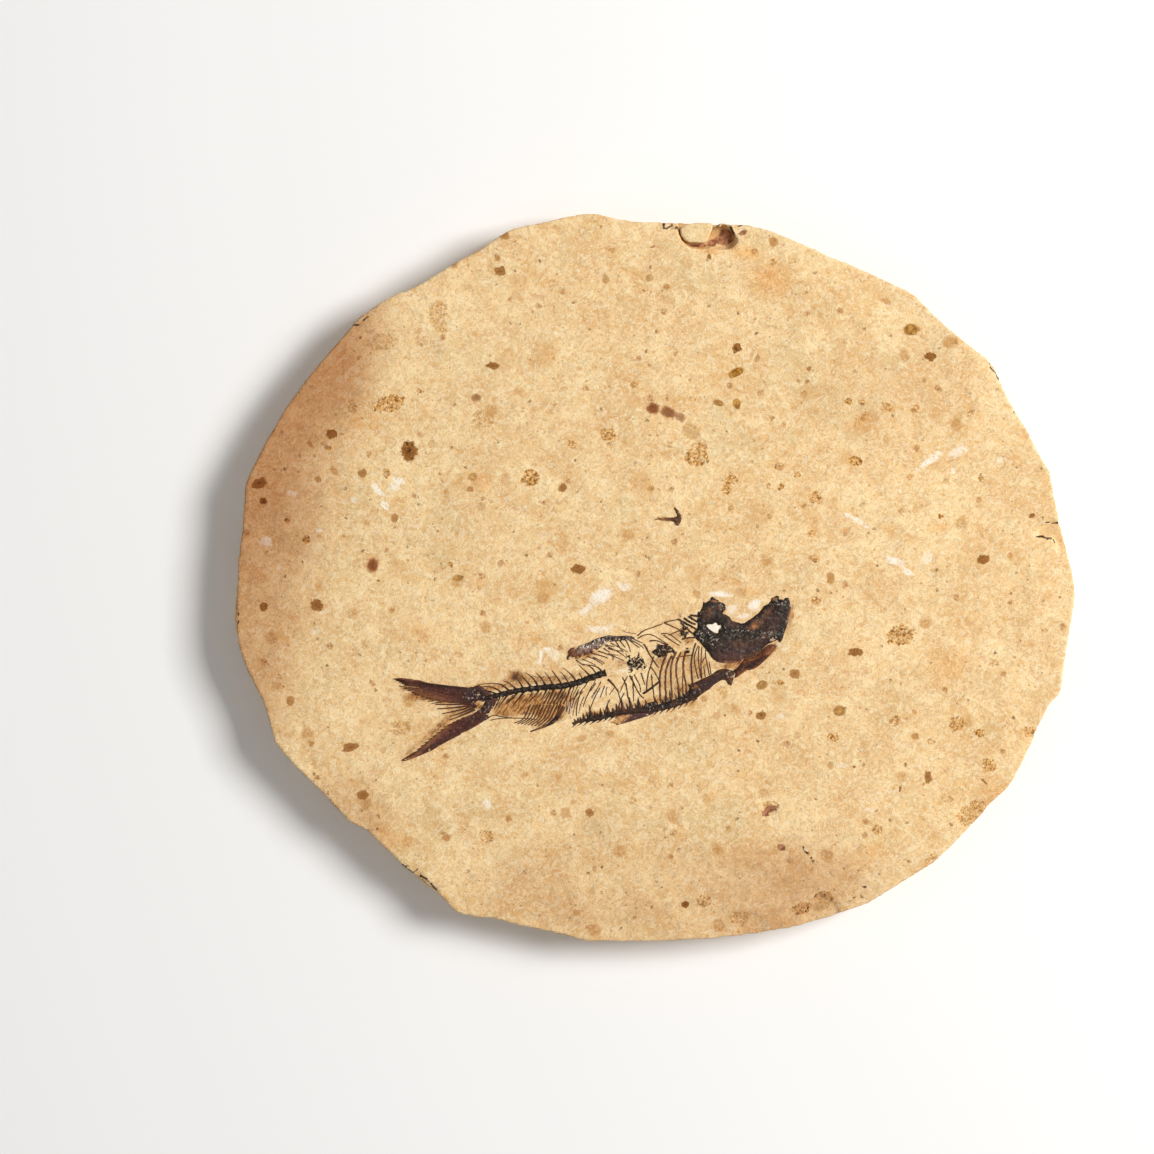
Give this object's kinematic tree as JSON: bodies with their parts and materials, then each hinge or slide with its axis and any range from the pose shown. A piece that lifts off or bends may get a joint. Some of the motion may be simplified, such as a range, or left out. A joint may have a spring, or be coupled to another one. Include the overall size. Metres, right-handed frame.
{
  "type": "fossil fish slab",
  "caption": "Thin oval plate of laminated limestone with chipped layered edges, carrying the flattened skeleton of a small fossil fish on its split face.",
  "frame": {"origin": "centre of the bounding box on the slab's flat underside", "axes": "+X along the slab's length towards the fish's snout, +Y towards the fish's back, +Z out of the split face that carries the fish"},
  "size_m": [0.095, 0.0822, 0.0076],
  "materials": {
    "buff_limestone": "matt split stone",
    "pale_limestone": "matt split stone",
    "umber_black_bone": "crushed glossy umber-black bone",
    "red_brown_bone": "satin red-brown bone",
    "purple_brown_bone": "satin purple-brown bone",
    "grey_black_bone": "grey-black bone",
    "dark_brown_bone": "dark brown bone",
    "dorsal_fin_bone": "grey-brown fin bone",
    "anal_fin_bone": "tan fin bone",
    "pelvic_fin_bone": "russet fin bone",
    "tail_fin_bone": "black to amber fin bone",
    "granular_bone": "granular black bone",
    "stray_bone_brown": "dark brown bone"
  },
  "bodies": {
    "root": {"limestone_slab": "buff_limestone", "loose_flake": "pale_limestone", "skull": "umber_black_bone", "lower_jaw": "red_brown_bone", "shoulder_girdle": "purple_brown_bone", "backbone": "grey_black_bone", "rib_basket": "dark_brown_bone", "dorsal_fin": "dorsal_fin_bone", "anal_fin": "anal_fin_bone", "pelvic_fin": "pelvic_fin_bone", "tail_fin": "tail_fin_bone", "front_vertebra_1": "granular_bone", "front_vertebra_2": "granular_bone", "front_vertebra_3": "granular_bone", "front_vertebra_4": "granular_bone", "stray_bone": "stray_bone_brown"}
  },
  "joints": []
}
